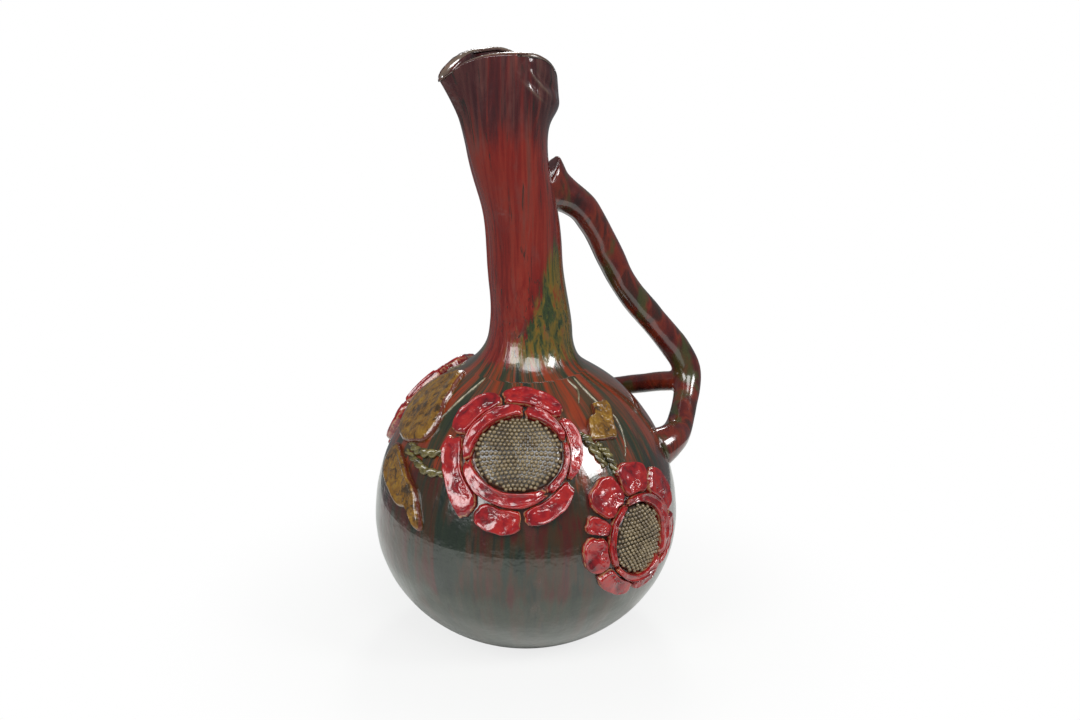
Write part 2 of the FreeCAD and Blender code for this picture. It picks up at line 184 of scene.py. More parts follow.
def tubeFaces(rings, around, first=0):
    ends = [tuple(first + k for k in reversed(range(around))),
            tuple(first + (rings - 1) * around + k for k in range(around))]
    return ringFaces(rings, around, first) + ends


# glazes
def addNode(tree, kind, links=None, out=0, stops=(), **settings):
    # one node with its settings, links as {input: a socket or a fixed value}, and a ramp's stops
    node = tree.nodes.new(kind)
    for key, value in settings.items():
        setattr(node, key, value)
    for key, value in (links or {}).items():
        if isinstance(value, bpy.types.NodeSocket):
            tree.links.new(value, node.inputs[key])
        else:
            node.inputs[key].default_value = value
    if stops:
        for end in (0, -1):
            node.color_ramp.elements[end].position = stops[end][0]
            node.color_ramp.elements[end].color = linear(stops[end][1])
    for position, colour in stops[1:-1]:
        node.color_ramp.elements.new(position).color = linear(colour)
    return node.outputs[out]


def newGlaze(name, roughness, coat=1.0):
    # fired lead glaze bends light a little more than window glass, and has a clear wet layer on top
    material = bpy.data.materials.new(name)
    material.use_nodes = True
    shader = material.node_tree.nodes["Principled BSDF"]
    shader.inputs["IOR"].default_value = 1.6
    shader.inputs["Roughness"].default_value = roughness
    shader.inputs["Coat Weight"].default_value = coat
    shader.inputs["Coat Roughness"].default_value = 0.03
    shader.inputs["Coat IOR"].default_value = 1.5
    return material, material.node_tree, shader


def inMillimetres(tree):
    spot = addNode(tree, "ShaderNodeTexCoord", out="Object")
    return addNode(tree, "ShaderNodeVectorMath", {0: spot, "Scale": 1 / mm}, operation="SCALE")


def glazeRuns(tree, source, size, stretch=1.0, detail=4.0, distortion=0.0, seed=0.0):
    # runs of glaze, size mm wide and stretch times as long down the pot; source is in mm
    place = addNode(tree, "ShaderNodeMapping", {"Vector": source, "Location": (seed, seed * 1.7, seed * 0.6),
                                                "Scale": (1 / size, 1 / size, 1 / (size * stretch))})
    return addNode(tree, "ShaderNodeTexNoise", {"Vector": place, "Scale": 1.0, "Detail": detail,
                                                "Roughness": 0.55, "Distortion": distortion}, "Fac")


def glazeOver(tree, colour, hexColour, where, low, high, most):
    # a second glaze over the first, thicker as where goes from low to high, up to the share most
    share = addNode(tree, "ShaderNodeMapRange",
                    {"Value": where, "From Min": low, "From Max": high, "To Max": most},
                    interpolation_type="SMOOTHSTEP")
    return addNode(tree, "ShaderNodeMix", {0: share, 6: colour, 7: linear(hexColour)}, 2, data_type="RGBA")


def finishGlaze(tree, shader, colour, relief):
    # relief is layers of (height, depth in mm): pooled glaze, pinholes and the like
    tree.links.new(colour, shader.inputs["Base Color"])
    normal = None
    for height, depth in relief:
        links = {"Height": height, "Distance": depth * mm, "Strength": 1.0}
        if normal is not None:
            links["Normal"] = normal
        normal = addNode(tree, "ShaderNodeBump", links)
    tree.links.new(normal, shader.inputs["Normal"])


def runningGlaze():
    # lead glaze over earthenware, several colours poured and run together in the kiln: streaks that
    # follow the fall of the pot, a deep wet gloss, and colour that thins over edges
    neckRed = [(0.30, "#4a0d09"), (0.46, "#74170e"), (0.56, "#83281a"), (0.72, "#5f332a")]
    # each later pour has its place on the pot, the softness of its border, and its colours
    pours = [
        ("mouthZone", 0.25, [(0.30, "#220b0c"), (0.48, "#3d1518"), (0.60, "#54302c"), (0.75, "#4a443a")]),
        ("flameZone", 0.12, [(0.28, "#14211a"), (0.44, "#33401f"), (0.54, "#6f5a1c"), (0.62, "#7c3a12"),
                             (0.75, "#5a120a")]),
        ("shoulderZone", 0.12, [(0.34, "#16211a"), (0.45, "#2b331f"), (0.50, "#56321a"),
                                (0.57, "#86310f"), (0.72, "#56180c")]),
        ("bodyZone", 0.15, [(0.30, "#121b16"), (0.45, "#1f2a1e"), (0.52, "#3a2614"), (0.57, "#46120d"),
                            (0.63, "#241f16"), (0.75, "#38402c")]),
        ("footZone", 0.2, [(0.30, "#1b241d"), (0.50, "#333a2c"), (0.62, "#463224"), (0.75, "#4b5342")]),
    ]
    material, tree, shader = newGlaze("runningLeadGlaze", 0.22)
    flow = addNode(tree, "ShaderNodeAttribute", out="Vector", attribute_name="flow")
    spot = inMillimetres(tree)
    broad = glazeRuns(tree, flow, 7, 9, 5, 0.5)
    fine = glazeRuns(tree, flow, 2.4, 14, 4, 0.3, 3.1)
    both = addNode(tree, "ShaderNodeMix", {0: 0.32, 2: broad, 3: fine}, data_type="FLOAT")
    edges = glazeRuns(tree, flow, 4.5, 8, 4, 0.8, 7.7)
    colour = addNode(tree, "ShaderNodeValToRGB", {"Fac": both}, stops=neckRed)
    for zone, softness, stops in pours:
        # a pour's border is broken into tongues by the same runs
        share = addNode(tree, "ShaderNodeAttribute", out="Fac", attribute_name=zone)
        tongue = addNode(tree, "ShaderNodeMath", {0: share, 1: edges}, operation="ADD")
        mask = addNode(tree, "ShaderNodeMapRange",
                       {"Value": tongue, "From Min": 1 - softness, "From Max": 1 + softness},
                       interpolation_type="SMOOTHSTEP")
        layer = addNode(tree, "ShaderNodeValToRGB", {"Fac": both}, stops=stops)
        colour = addNode(tree, "ShaderNodeMix", {0: mask, 6: colour, 7: layer}, 2, data_type="RGBA")
    # milky pinkish bloom where the glaze lies thick and boiled a little
    colour = glazeOver(tree, colour, "#6d4a44", glazeRuns(tree, flow, 9, 2.5, 3, 0.6, 5.0), 0.52, 0.75, 0.28)
    # dark green glaze that crept down in narrow threads
    colour = glazeOver(tree, colour, "#17201a", glazeRuns(tree, flow, 3.2, 12, 3, 1.4, 9.0), 0.60, 0.68, 0.75)
    # the glaze breaks pale over the sharp rim and the folds, and this pale is also a painted highlight on the
    # rim and along the crease ridges
    paleBreakAndHighlight = addNode(tree, "ShaderNodeAttribute", out="Fac", attribute_name="rimBreakAndHighlightZone")
    colour = addNode(tree, "ShaderNodeMix", {0: paleBreakAndHighlight, 6: colour, 7: linear("#8f8672")}, 2, data_type="RGBA")
    finishGlaze(tree, shader, colour, [(broad, 0.5), (glazeRuns(tree, spot, 11, 1, 3), 0.8),
                                       (glazeRuns(tree, spot, 1.2, 1, 2), 0.03)])
    return material


def handleGlaze():
    # the same lead glaze over a pulled handle: red-brown and green in blotches along the branch
    material, tree, shader = newGlaze("mottledLeadGlaze", 0.22)
    spot = inMillimetres(tree)
    blotch = glazeRuns(tree, spot, 12, 2.4, 3, 0.5)
    colour = addNode(tree, "ShaderNodeValToRGB", {"Fac": blotch},
                     stops=[(0.32, "#2a0d0b"), (0.45, "#551510"), (0.55, "#6e2413"), (0.63, "#45170f"),
                            (0.72, "#2b1d14")])
    colour = glazeOver(tree, colour, "#39401d", glazeRuns(tree, spot, 11, 2.6, 3, 0.4, 4.0), 0.53, 0.66, 0.8)
    finishGlaze(tree, shader, colour, [(blotch, 0.6), (glazeRuns(tree, spot, 2.0, 1, 3), 0.06)])
    return material


def petalGlaze():
    # crimson lead glaze over pressed petals: deep where it pools, and broken to cream on every edge
    material, tree, shader = newGlaze("crimsonPetalGlaze", 0.2)
    spot = inMillimetres(tree)
    pool = glazeRuns(tree, spot, 6, 1, 4, 0.6)
    colour = addNode(tree, "ShaderNodeValToRGB", {"Fac": pool},
                     stops=[(0.30, "#540710"), (0.48, "#8f1018"), (0.60, "#a5201c"), (0.75, "#7c0d18")])
    hollow = addNode(tree, "ShaderNodeAttribute", out="Fac", attribute_name="hollow")
    colour = glazeOver(tree, colour, "#35060b", hollow, 0.2, 1, 0.75)
    edge = addNode(tree, "ShaderNodeAttribute", out="Fac", attribute_name="edge")
    grain = glazeRuns(tree, spot, 1.6, 1, 4)
    broken = addNode(tree, "ShaderNodeMath", {0: edge, 1: grain}, operation="MULTIPLY")
    colour = glazeOver(tree, colour, "#b98a63", broken, 0.40, 0.62, 0.85)
    finishGlaze(tree, shader, colour, [(pool, 0.5), (glazeRuns(tree, spot, 1.5, 1, 3), 0.12)])
    return material


def seedGlaze():
    # thin khaki slip over pressed beads: less gloss, brown in the gaps
    material, tree, shader = newGlaze("khakiSeedSlip", 0.32, 0.6)
    spot = inMillimetres(tree)
    colour = addNode(tree, "ShaderNodeValToRGB", {"Fac": glazeRuns(tree, spot, 5, 1, 3)},
                     stops=[(0.3, "#5c4c36"), (0.5, "#7a6a4d"), (0.7, "#8d7c5c")])
    hollow = addNode(tree, "ShaderNodeAttribute", out="Fac", attribute_name="hollow")
    colour = glazeOver(tree, colour, "#1d140c", hollow, 0.15, 0.8, 0.92)
    finishGlaze(tree, shader, colour, [(glazeRuns(tree, spot, 0.8, 1, 2), 0.05)])
    return material


def leafGlaze(name, mid, low, high, ridge):
    # lead glaze of one tone from dark to pale, pitted where it boiled, and darker on a raised outline
    pitGap = 1.7
    material, tree, shader = newGlaze(name, 0.22)
    spot = inMillimetres(tree)
    tone = glazeRuns(tree, spot, 4, 1, 5, 0.8)
    colour = addNode(tree, "ShaderNodeValToRGB", {"Fac": tone},
                     stops=[(0.34, low), (0.48, mid), (0.68, high)])
    pits = addNode(tree, "ShaderNodeTexVoronoi", {"Vector": spot, "Scale": 1 / pitGap}, "Distance")
    colour = glazeOver(tree, colour, low, pits, 0.3, 0.12, 0.55)
    edge = addNode(tree, "ShaderNodeAttribute", out="Fac", attribute_name="edge")
    colour = glazeOver(tree, colour, ridge, edge, 0.35, 0.8, 0.9)
    finishGlaze(tree, shader, colour, [(tone, 0.4), (pits, 0.25)])
    return material


bodyGlaze = runningGlaze()
branchGlaze = handleGlaze()
crimsonGlaze = petalGlaze()
khakiSlip = seedGlaze()
ochreGlaze = leafGlaze("ochreLeafGlaze", "#7a5316", "#3c2a10", "#96701f", "#5e2013")
oliveGlaze = leafGlaze("oliveStemGlaze", "#5b5228", "#2b2a18", "#837846", "#3a2a16")
lineSlip = leafGlaze("paleLineSlip", "#7d735a", "#4d4a38", "#a39a80", "#6b6350")
print("glazes made")

# belly and neck, one skin from the foot up the outside, over the rim and down the inside
neck = {
    "seatRadius": 28.0,
    "rise": 109.0,
    "radius": 17.7,
    "wall": 4.4,
    "lean": 10.5,
    "mouthRise": 41.0,
    "mouthHalfWidth": 14.5,
    "spoutReach": 30.4,
    "spoutDrop": 11.0,
    "lobeReach": 26.4,
    "lobeDrop": 15.5,
    "lipWall": 4.0,
    # height over the rise, bend over the lean, outer radius over the neck radius
    "levels": [(0.0, 0.0, 1.582), (0.028, -0.06, 1.440), (0.064, -0.14, 1.290), (0.11, -0.22, 1.180),
               (0.18, -0.26, 1.115), (0.29, -0.19, 1.050), (0.43, -0.06, 1.012), (0.56, 0.06, 1.0),
               (0.70, 0.27, 0.988), (0.83, 0.56, 1.012), (0.93, 0.82, 1.040)],
    "lobe": [1.0, 0.93, 0.70, 0.40, 0.12, 0, 0, 0, 0, 0, 0, 0, 0.12, 0.40, 0.70, 0.93],
    "spout": [0, 0, 0, 0, 0, 0.05, 0.18, 0.45, 1.0, 0.45, 0.18, 0.05, 0, 0, 0, 0],
    "around": 336,
    "throatFlare": 1.06,  # over the neck's radius, where the mouth begins
    "lobeFull": 0.6,  # share of the climb at which the lobe is fully out
    "mouthLean": 0.12,
    "boreFlare": 1.12,  # the most that the bore follows the neck's swell
    "mouthSteps": 56,
    "lipSteps": 11,
    "smearRings": 14,
    "smearPasses": 60,
    # creases under the flared back of the mouth, as x and z in mm
    "creases": [[(-5.4, 281.0), (-4.6, 278.5), (-2.5, 275.0), (1.7, 270.7), (8.0, 265.4)],
                [(-9.0, 275.0), (-6.0, 271.5), (-2.5, 268.0), (3.0, 263.6)]],
}
around = neck["around"]
turns = np.arange(around) * 2 * math.pi / around
circle = np.column_stack([np.cos(turns), np.sin(turns), 0 * turns])
seatHeight = belly["middle"] + belly["rise"] * math.sqrt(1 - (neck["seatRadius"] / belly["radius"]) ** 2)
lobeShare = closedCurve(neck["lobe"], around)
spoutShare = closedCurve(neck["spout"], around)


def roundRing(radius, height, shift=0.0):
    return circle * radius + [shift, 0, height]


def mouthRing(climb, inset, lift):
    throat = neck["radius"] * neck["throatFlare"]
    side = throat + (neck["mouthHalfWidth"] - throat) * climb
    reach = side - inset
    reach = reach + (neck["lobeReach"] - side) * lobeShare * smoothStep(0, neck["lobeFull"], climb)
    reach = reach + (neck["spoutReach"] - side) * spoutShare * climb
    full = neck["mouthHalfWidth"] + (neck["lobeReach"] - neck["mouthHalfWidth"]) * lobeShare
    full = full + (neck["spoutReach"] - neck["mouthHalfWidth"]) * spoutShare
    offset = full * np.cos(turns)
    drop = np.where(offset < 0, neck["spoutDrop"] * np.abs(offset / neck["spoutReach"]) ** 3,
                    neck["lobeDrop"] * np.abs(offset / neck["lobeReach"]) ** 3)
    height = seatHeight + neck["rise"] + (neck["mouthRise"] - drop) * climb + lift
    middle = -neck["lean"] * (1 + neck["mouthLean"] * climb)
    return np.column_stack([middle + reach * np.cos(turns), reach * np.sin(turns), height])


outer, inner = [], []
footSlope = -math.acos(belly["footRadius"] / belly["radius"])
seatSlope = math.acos(neck["seatRadius"] / belly["radius"])
innerFoot = belly["footRadius"] - belly["footRing"]
under = [roundRing(innerFoot * k / 12, belly["footRecess"]) for k in range(1, 12)]
under += [roundRing(innerFoot + shift, height) for shift, height in belly["footInnerEdge"]]
under += [roundRing(belly["footRadius"] + shift, height) for shift, height in belly["footOuterEdge"]]
for slope in np.linspace(footSlope, seatSlope, belly["outerRings"])[1:]:
    tall = belly["depth"] if slope < 0 else belly["rise"]
    outer.append(roundRing(belly["radius"] * math.cos(slope), belly["middle"] + tall * math.sin(slope)))
levels = openCurve(neck["levels"], 9)
for high, lean, wide in levels[1:]:
    outer.append(roundRing(neck["radius"] * wide, seatHeight + neck["rise"] * high, -neck["lean"] * lean))
for high, lean, wide in levels[::-1]:
    bore = neck["radius"] * min(wide, neck["boreFlare"]) - neck["wall"]
    inner.append(roundRing(bore, seatHeight + neck["rise"] * high, -neck["lean"] * lean))
steps = neck["mouthSteps"]
outerMouth = [mouthRing(k / steps, 0, 0) for k in range(3, steps)]
innerMouth = [mouthRing(k / steps, neck["wall"] + (neck["lipWall"] - neck["wall"]) * k / steps, 0)
              for k in range(steps - 1, 2, -2)]
half = neck["lipWall"] / 2
lip = [mouthRing(1, half - half * math.cos(a), half * math.sin(a) - half)
       for a in np.linspace(0, math.pi, neck["lipSteps"])]
cavity = []
cavityRadius = belly["radius"] - belly["wallSide"]
holeSlope = math.acos(belly["neckHole"] / cavityRadius)
for slope in np.linspace(holeSlope, -math.pi / 2, belly["cavityRings"])[:-1]:
    tall = belly["middle"] - belly["wallBase"] if slope < 0 else belly["rise"] - belly["wallTop"]
    cavity.append(roundRing(cavityRadius * math.cos(slope), belly["middle"] + tall * math.sin(slope)))

outside = np.array(outer + outerMouth)
# wet clay smeared over the join between the neck and the shoulder, and the soft throat
ringNumber = np.arange(len(outside))
blend = bump(ringNumber, belly["outerRings"], neck["smearRings"])
blend += bump(ringNumber, len(outer) + 2, neck["smearRings"])
blend = np.clip(blend, 0, 1)[:, None, None]
for _ in range(neck["smearPasses"]):
    mean = (np.roll(outside, 1, axis=0) + np.roll(outside, -1, axis=0)) / 2
    mean[0], mean[-1] = outside[0], outside[-1]
    outside = outside + (mean - outside) * blend

# the hand shows: soft throwing rings, fluting down the neck under the spout, folds under the lobe
hand = {
    "flutes": 36,
    "fluteDepth": 0.30,
    "throwingDepth": 0.04,
    "throwingRate": 0.45,  # radians of the wave to a millimetre of height
    "swayDepth": 0.35,
    "swayRate": 0.13,
    "creaseDepths": (1.5, 0.7),
    "creaseFade": 7,  # mm over which a crease runs out at its ends
}
alongWay = np.gradient(outside, axis=0)
roundWay = np.roll(outside, -1, axis=1) - np.roll(outside, 1, axis=1)
outWay = np.cross(roundWay, alongWay)
outWay /= np.linalg.norm(outWay, axis=2)[:, :, None]
heights = outside[:, :, 2]
degrees = np.degrees(np.arctan2(outside[:, :, 1], outside[:, :, 0] + neck["lean"] * 0.5))
onNeck = smoothStep(seatHeight + 8, seatHeight + 30, heights)
flute = bump((np.abs(degrees) - 180) * np.sign(-degrees), 26, 22) * onNeck
turned = np.radians(degrees)
throwing = np.sin(heights * hand["throwingRate"] + 0.6 * np.sin(turned * 2))
push = hand["fluteDepth"] * flute * np.sin(turned * hand["flutes"])
push += hand["throwingDepth"] * throwing * (1 - onNeck) * smoothStep(4, 30, heights)
push += hand["swayDepth"] * np.sin(heights * hand["swayRate"] + turned) * onNeck
# painted highlight: a pale line along the raised ridge of each crease, read by the glaze
ridgeHighlight = np.zeros_like(push)
sideOn = outside[:, :, ::2]
for depth, crease in zip(hand["creaseDepths"], neck["creases"]):
    path = openCurve(crease, 6)
    ends = [np.linalg.norm(sideOn - end, axis=2) for end in (path[0], path[-1])]
    fade = smoothStep(0, hand["creaseFade"], np.minimum(*ends))
    gap = np.full(heights.shape, np.inf)
    below = np.zeros(heights.shape)
    for a, b in zip(path[:-1], path[1:]):
        way = b - a
        spot = sideOn - a
        t = np.clip((spot @ way) / (way @ way), 0, 1)
        miss = spot - t[:, :, None] * way
        far = np.linalg.norm(miss, axis=2)
        side = np.sign(way[0] * spot[:, :, 1] - way[1] * spot[:, :, 0])
        below = np.where(far < gap, side, below)
        gap = np.minimum(gap, far)
    reach = gap * below  # positive towards the lobe, negative towards the neck
    push += fade * (-depth * bump(reach, 1.8, 1.9) + depth * 0.4 * bump(reach, -1.4, 1.4))
    ridgeHighlight += 0.25 * fade * bump(reach, -1.2, 0.5)
outside += outWay * push[:, :, None]

skin = np.concatenate([under, outside, lip, innerMouth, inner, cavity])
flat = skin.reshape(-1, 3)
base, bottom = len(flat), len(flat) + 1
points = np.vstack([flat, [0, 0, belly["footRecess"]], [0, 0, belly["wallBase"]]])
faces = ringFaces(len(skin), around)
faces += [(base, (k + 1) % around, k) for k in range(around)]
top = (len(skin) - 1) * around
faces += [(bottom, top + k, top + (k + 1) % around) for k in range(around)]

# marks for the glaze: where it runs, and which colours were poured where
x, y, z = points.T
azimuth = np.degrees(np.arctan2(y, x + np.where(z > seatHeight, neck["lean"] * 0.4, 0)))
spread = 50 - 20 * smoothStep(135, 185, z)
flow = np.column_stack([np.cos(np.radians(azimuth)) * spread, np.sin(np.radians(azimuth)) * spread, z])


def nearTurn(middle, width):
    return np.exp(-(((azimuth - middle + 180) % 360 - 180) / width) ** 2)


mouthZone = smoothStep(222, 262, z) * (0.75 + 0.35 * nearTurn(20, 60)) - 0.15 * nearTurn(-120, 30)
flameTop = 158 + 44 * nearTurn(-50, 34) + 30 * nearTurn(90, 40)
flameZone = smoothStep(-26, 34, flameTop - z) * (1.02 - 0.75 * nearTurn(-165, 42)) * 0.98
shoulderZone = smoothStep(150, 134, z) * 0.95
bodyZone = smoothStep(112, 84, z) * 1.02
footZone = smoothStep(58, 34, z) * 0.9
rimBreakAndHighlightZone = np.zeros(len(points))
outFirst = len(under) * around
lipFirst = outFirst + len(outside) * around
# pale on the crease ridges and over the whole rim: painted highlight, with the glaze breaking pale at the rim
rimBreakAndHighlightZone[outFirst:lipFirst] = np.clip(ridgeHighlight, 0, 0.6).ravel()
rimBreakAndHighlightZone[lipFirst:lipFirst + len(lip) * around] = 0.35
makePiece("jugBody", points, faces, bodyGlaze, ["belly", "neck"],
          {"flow": flow, "mouthZone": mouthZone, "flameZone": flameZone, "shoulderZone": shoulderZone,
           "bodyZone": bodyZone, "footZone": footZone, "rimBreakAndHighlightZone": rimBreakAndHighlightZone})
print("body made", len(points))

# handle: a pulled branch and the strut behind it, luted together and smoothed
handle = {
    "radius": 6.9,
    "overhang": 16.2,
    "azimuth": -24.0,
    "slope": 23.9,
    "startShares": (1.30, 2.20),
    "endShares": (1.50, 1.55),
    # out, aside and up over the branch's reach, then the two half thicknesses
    "route": [
        (0.212, 0.0, 0.955, 1.22, 1.70), (0.279, 0.0, 0.930, 1.10, 1.25), (0.366, 0.0, 0.885, 1.02, 1.06),
        (0.427, 0.0, 0.827, 1.0, 1.0), (0.477, 0.0, 0.768, 1.0, 1.0), (0.526, 0.0, 0.697, 0.99, 1.0),
        (0.597, 0.0, 0.602, 0.97, 0.99), (0.685, 0.0, 0.514, 0.96, 0.98), (0.777, 0.0, 0.436, 0.97, 1.0),
        (0.873, 0.0, 0.357, 1.0, 1.02), (0.943, 0.0, 0.291, 1.02, 1.04), (0.990, 0.04, 0.226, 1.04, 1.04),
        (0.988, 0.12, 0.176, 1.04, 1.03), (0.956, 0.28, 0.128, 1.0, 1.0), (0.902, 0.50, 0.075, 0.97, 0.97),
        (0.831, 0.74, 0.030, 1.02, 1.04), (0.746, 0.94, 0.010, 1.20, 1.24),
    ],
    "fork": 12,
    "strutRadius": 5.1,
    "strutAzimuth": 32.5,
    "strutSlope": 30.5,
    "strutRoute": [(0.0, 0.0, 0.0, 1.10), (0.124, 0.14, 0.133, 1.06), (0.259, 0.364, 0.28, 1.0),
                   (0.417, 0.56, 0.447, 0.98), (0.558, 0.756, 0.607, 0.98), (0.687, 0.924, 0.76, 1.02),
                   (0.828, 1.0, 0.88, 1.16)],
    "around": 40,
    "strutAround": 32,
    "strutEnd": 1.6,
    "sunk": 0.75,  # share of the wall that an end is let into
    "voxel": 0.8,
    "smoothing": 0.6,
    "smoothPasses": 26,
    "knots": 0.7,
    "knotGap": 22,
    "dentGap": 9,
}


def handlePiece():
    high, lean, wide = neck["levels"][9]
    top = np.array([-neck["lean"] * lean, 0, seatHeight + neck["rise"] * high])
    root = bellyPoint(handle["azimuth"], handle["slope"])
    reach = belly["radius"] + handle["overhang"] - top[0]
    r = handle["radius"]
    seat = neck["radius"] * wide - neck["wall"] * handle["sunk"]
    rows = [[*(top + [seat, 0, -r * 0.3]), *handle["startShares"]]]
    for out, aside, up, a, b in handle["route"]:
        rows.append([top[0] + reach * out, root[1] * aside, root[2] + (top[2] - root[2]) * up, a, b])
    depth = belly["wallSide"] * handle["sunk"]
    rows.append([*(root - bellyNormal(root)[0] * depth), *handle["endShares"]])
    fork = np.array(rows[handle["fork"] + 1][:3])
    route = openCurve(rows, 8)
    rings = tubeRings(route[:, :3], route[:, 3] * r, route[:, 4] * r, (0, 1, 0), handle["around"])
    parts = [(rings.reshape(-1, 3), tubeFaces(len(rings), handle["around"]))]
    end = bellyPoint(handle["strutAzimuth"], handle["strutSlope"])
    way = end - fork
    rows = [[*(fork + way * [a, b, c]), d] for a, b, c, d in handle["strutRoute"]]
    rows.append([*(end - bellyNormal(end)[0] * depth), handle["strutEnd"]])
    route = openCurve(rows, 8)
    thick = route[:, 3] * handle["strutRadius"]
    rings = tubeRings(route[:, :3], thick, thick, (0, 0, 1), handle["strutAround"])
    parts.append((rings.reshape(-1, 3), tubeFaces(len(rings), handle["strutAround"], len(parts[0][0]))))
    points = np.vstack([p for p, _ in parts])
    piece = makePiece("handleBranch", points, parts[0][1] + parts[1][1], branchGlaze,
                      ["handle_branch", "handle_strut"])
    remesh = piece.modifiers.new("weld", "REMESH")
    remesh.mode = "VOXEL"
    remesh.voxel_size = handle["voxel"] * mm
    remesh.use_smooth_shade = True
    soften = piece.modifiers.new("soften", "SMOOTH")
    soften.factor = handle["smoothing"]
    soften.iterations = handle["smoothPasses"]
    graph = bpy.context.evaluated_depsgraph_get()
    mesh = bpy.data.meshes.new_from_object(piece.evaluated_get(graph))
    piece.modifiers.clear()
    piece.data = mesh
    count = len(mesh.vertices)
    at = np.zeros(count * 3)
    normal = np.zeros(count * 3)
    mesh.vertices.foreach_get("co", at)
    mesh.vertex_normals.foreach_get("vector", normal)
    at, normal = at.reshape(-1, 3) / mm, normal.reshape(-1, 3)
    # finger dents and branch knots
    push = handle["knots"] * (rough(at, handle["knotGap"], 1) + 0.3 * rough(at, handle["dentGap"], 2))
    mesh.vertices.foreach_set("co", ((at + normal * push[:, None]) * mm).ravel())
    mesh.polygons.foreach_set("use_smooth", [True] * len(mesh.polygons))
    if not mesh.materials:
        mesh.materials.append(branchGlaze)
    mesh.update()
    return piece


handlePiece()
print("handle made")

# applied clay: petals, seed heads and leaves
petalOutline = [
    (-0.95, -0.72), (-1.0, 0.0), (-0.95, 0.70), (-0.76, 1.0), (-0.38, 1.07), (0.0, 0.98), (0.38, 1.08),
    (0.76, 1.0), (0.95, 0.70), (1.0, 0.0), (0.95, -0.72), (0.62, -1.0), (0.0, -1.0), (-0.62, -1.0),
]


def padMesh(place, outline, crown, sizes, seed):
    # a pressed pad of clay: rows from the middle to the edge, then down to the belly.
    # sizes: frill of the edge, swell of the face, its rolled border, crimps near the inner edge
    rows, count = sizes["rows"], sizes["count"]
    edge = closedCurve(outline, count)
    spin = np.arange(count) * 2 * math.pi / count
    waves = sizes["frillWaves"]
    frill = [noise.noise(Vector((math.cos(t) * waves, math.sin(t) * waves, seed))) for t in spin]
    edge = edge * (1 + sizes["frill"] * np.array(frill))[:, None]
    points, edgeMark, hollow = [], [], []
    middle = bellyNormal(onBelly(place(0, 0)))[0]
    shares = list(np.linspace(0.08, 0.94, rows)) + [0.975, 1.0, 1.015, 1.02]
    for s in shares:
        level = 1 - max(0.0, (s - 0.80) / 0.20) ** 2.2 * 0.55 if s <= 1 else 0.45 - (s - 1) / 0.02 * 0.75
        if s >= 1.02:
            level = -0.35
        rolled = sizes["border"] * bump(s, sizes["borderAt"], 0.09)
        for k in range(count):
            along, across = edge[k] * min(s, 1.02)
            spot = np.array(place(along, across))
            lift = crown * level
            if level > 0.3:
                crimp = bump(across, -0.55, 0.28) * bump(along, sizes["crimpAt"], 0.45)
                wave = noise.noise(Vector(spot) / 4.5 + Vector((seed, 0, 0)))
                small = abs(noise.noise(Vector(spot) / 1.5 + Vector((0, seed, 0))))
                fold = math.sin(along * sizes["folds"] + seed + across)
                lift += rolled - sizes["dish"] * (1 - s * s)
                lift += sizes["swell"] * wave + sizes["foldDepth"] * fold * (0.4 + 0.6 * s)
                lift += sizes["crimp"] * crimp * (small * 2.6 - 0.5)
                hollow.append(min(1.0, max(0.0, 0.25 * (1 - s) - wave * 0.5 + crimp * (0.4 - small))))
            else:
                hollow.append(0.4 if level > 0 else 0.9)
            lift = min(max(lift, -2.0), crown * sizes["ceiling"])
            points.append(onBelly(spot, 0)[0] + bellyNormal(onBelly(spot, 0))[0] * lift)
            edgeMark.append(1.25 * bump(s, 0.985, 0.03) + 0.35 * rolled / max(sizes["border"], 0.1))
    points.insert(0, np.mean(points[:count], axis=0))
    edgeMark.insert(0, 0.0)
    hollow.insert(0, hollow[0])
    rings = len(shares)
    faces = ringFaces(rings, count, 1)
    faces += [(0, 1 + (k + 1) % count, 1 + k) for k in range(count)]
    # which way round the outline runs decides the winding
    a, b, c = (points[i] for i in (0, 1, 1 + count // 3))
    if np.dot(np.cross(np.array(b) - a, np.array(c) - a), middle) < 0:
        faces = [tuple(reversed(f)) for f in faces]
    return points, faces, {"edge": edgeMark, "hollow": hollow}


petalSizes = {"rows": 18, "count": 96, "frill": 0.07, "frillWaves": 3.2, "border": 0.55, "borderAt": 0.86,
              "dish": 0.5, "swell": 0.55, "folds": 3.0, "foldDepth": 0.25, "crimp": 1.5, "crimpAt": -0.3,
              "ceiling": 1.0}
innerSizes = {**petalSizes, "frill": 0.09, "border": 0.7, "borderAt": 0.72, "dish": 0.9, "swell": 0.7,
              "folds": 2.0, "foldDepth": 0.35, "crimp": 0.7, "rows": 16}
leafSizes = {**petalSizes, "frill": 0.04, "border": 0.9, "borderAt": 0.84, "dish": 0.7, "swell": 0.35,
             "folds": 5.0, "foldDepth": 0.2, "crimp": 0.0, "count": 120}
# how far the clay stands off the belly, and the gap between neighbouring petals
crowns = {"petal": 3.4, "inner": 4.4, "seed": 4.0, "leaf": 2.8}
crack = 0.5

